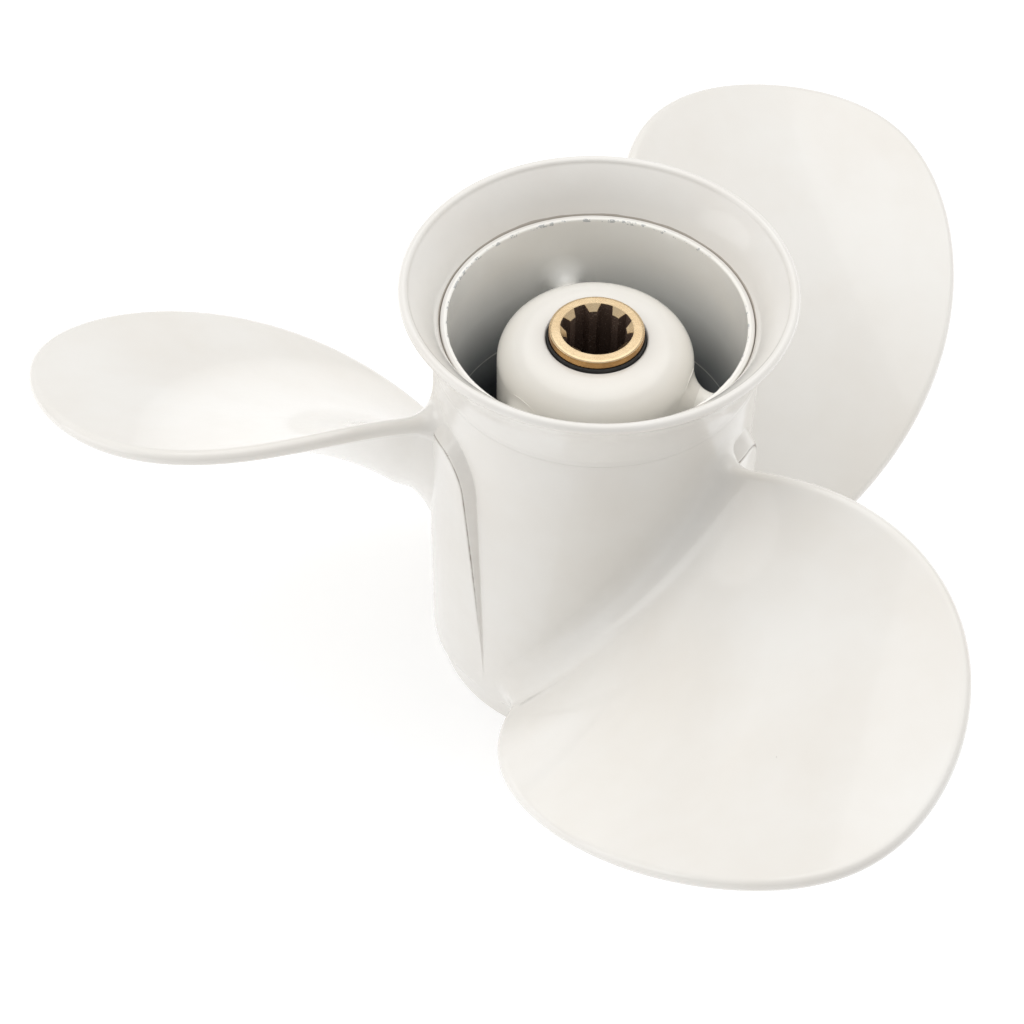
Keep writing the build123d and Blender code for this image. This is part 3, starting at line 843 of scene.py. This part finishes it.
def bushRubber(look):
    # black rubber: a fine grain gives its tone, its roughness and its bumps
    material, tree, shader, place = newMaterial("bushRubber")
    grain = noise(tree, place, look["grainScale"], 4, 0.6)
    tone = ramp(tree, grain, [(0.3, look["dark"]), (0.7, look["pale"])])
    tree.links.new(tone, shader.inputs["Base Color"])
    rough = ramp(tree, grain, [(0.2, (look["smooth"],) * 3), (0.8, (look["rough"],) * 3)])
    tree.links.new(rough, shader.inputs["Roughness"])
    grained = bump(tree, grain, look["grainBump"], look["grainDepth"])
    tree.links.new(grained, shader.inputs["Normal"])
    return material


castingPaint = enamelPaint("castingEnamel", enamelLook)
ringLook = dict(enamelLook, warm=(0.80, 0.765, 0.715), seamRadius=0.03104)
ringPaint = enamelPaint("ringEnamel", ringLook)
brass = brassMetal(brassLook)
rubber = bushRubber(rubberLook)
print("materials made")

barrelPiece(castingPaint)
print("barrel made")
for number in range(bladeSet["count"]):
    bladePiece(number, barrelSet["wall"], castingPaint)
print("blades made")
diffuserPiece(ringPaint)
bossPiece(castingPaint)
for number in range(ribSet["count"]):
    ribPiece(number, castingPaint)
print("ring, boss and ribs made")
bushPiece(rubber)
sleevePiece(brass)
print("bush and sleeve made")


# Lights are (name, place, aim, size, power, whether gloss paint mirrors them).
stageSet = {
    "floorHalf": 4.0, "floorColour": (0.62, 0.62, 0.62), "floorGlow": 0.50, "floorMottle": 0.985,
    "floorRoughness": 0.9, "sky": 0.515,
    "lights": (
        ("topLight", (0.05, 0.25, 1.1), (0, 0, 0.05), 1.4, 4.2, True),
        ("keyLight", (-0.7, 0.2, 0.7), (0, 0, 0.09), 0.9, 2.7, False),
        ("fillLight", (0.7, 0.2, 0.7), (0, 0, 0.09), 0.9, 2.7, False),
        ("sideLight", (-0.9, 0.0, 0.3), (0, 0, 0.05), 0.6, 0.9, True),
    ),
    "cameraPlace": (-0.04699, -0.3152, 0.39796), "cameraTurn": (41.866, -0.259, -5.051),
    "lens": 78.68, "sensor": 36, "shift": (0.0049, -0.0163), "clipStart": 0.01,
}


def areaLight(name, place, aim, size, power, mirrored):
    # a round soft light at a place, facing a point
    light = bpy.data.lights.new(name, "AREA")
    light.shape = "DISK"
    light.size = size
    light.energy = power
    lamp = bpy.data.objects.new(name, light)
    bpy.context.scene.collection.objects.link(lamp)
    lamp.location = place
    lamp.visible_glossy = mirrored
    lamp.rotation_euler = (Vector(aim) - Vector(place)).to_track_quat("-Z", "Y").to_euler()


def makeFloor():
    # a large square of white paper under the propeller, with a faint glow of its own
    s = stageSet
    h = s["floorHalf"]
    mesh = bpy.data.meshes.new("floor")
    mesh.from_pydata([(-h, -h, 0), (h, -h, 0), (h, h, 0), (-h, h, 0)], [], [(0, 1, 2, 3)])
    floor = bpy.data.objects.new("floor", mesh)
    bpy.context.scene.collection.objects.link(floor)
    material, tree, shader, place = newMaterial("floorPaper")
    darker = tuple(c * s["floorMottle"] for c in s["floorColour"])
    paper = mixColour(tree, noise(tree, place, 3, 2), s["floorColour"], darker)
    tree.links.new(paper, shader.inputs["Base Color"])
    shader.inputs["Roughness"].default_value = s["floorRoughness"]
    shader.inputs["Emission Color"].default_value = (1, 1, 1, 1)
    shader.inputs["Emission Strength"].default_value = s["floorGlow"]
    mesh.materials.append(material)


def makeSky():
    # even white light from all round
    world = bpy.data.worlds.new("studio")
    bpy.context.scene.world = world
    world.use_nodes = True
    background = world.node_tree.nodes["Background"]
    background.inputs["Color"].default_value = (1, 1, 1, 1)
    background.inputs["Strength"].default_value = stageSet["sky"]


def makeCamera():
    # the camera looks down at the propeller's aft end from in front of the first blade
    s = stageSet
    camera = bpy.data.cameras.new("camera")
    camera.lens = s["lens"]
    camera.sensor_width = s["sensor"]
    camera.shift_x, camera.shift_y = s["shift"]
    camera.clip_start = s["clipStart"]
    eye = bpy.data.objects.new("camera", camera)
    bpy.context.scene.collection.objects.link(eye)
    eye.location = s["cameraPlace"]
    eye.rotation_euler = np.radians(s["cameraTurn"])
    bpy.context.scene.camera = eye


makeFloor()
makeSky()
for lightValues in stageSet["lights"]:
    areaLight(*lightValues)
makeCamera()
bpy.context.scene.view_settings.view_transform = "Standard"
print("stage set")
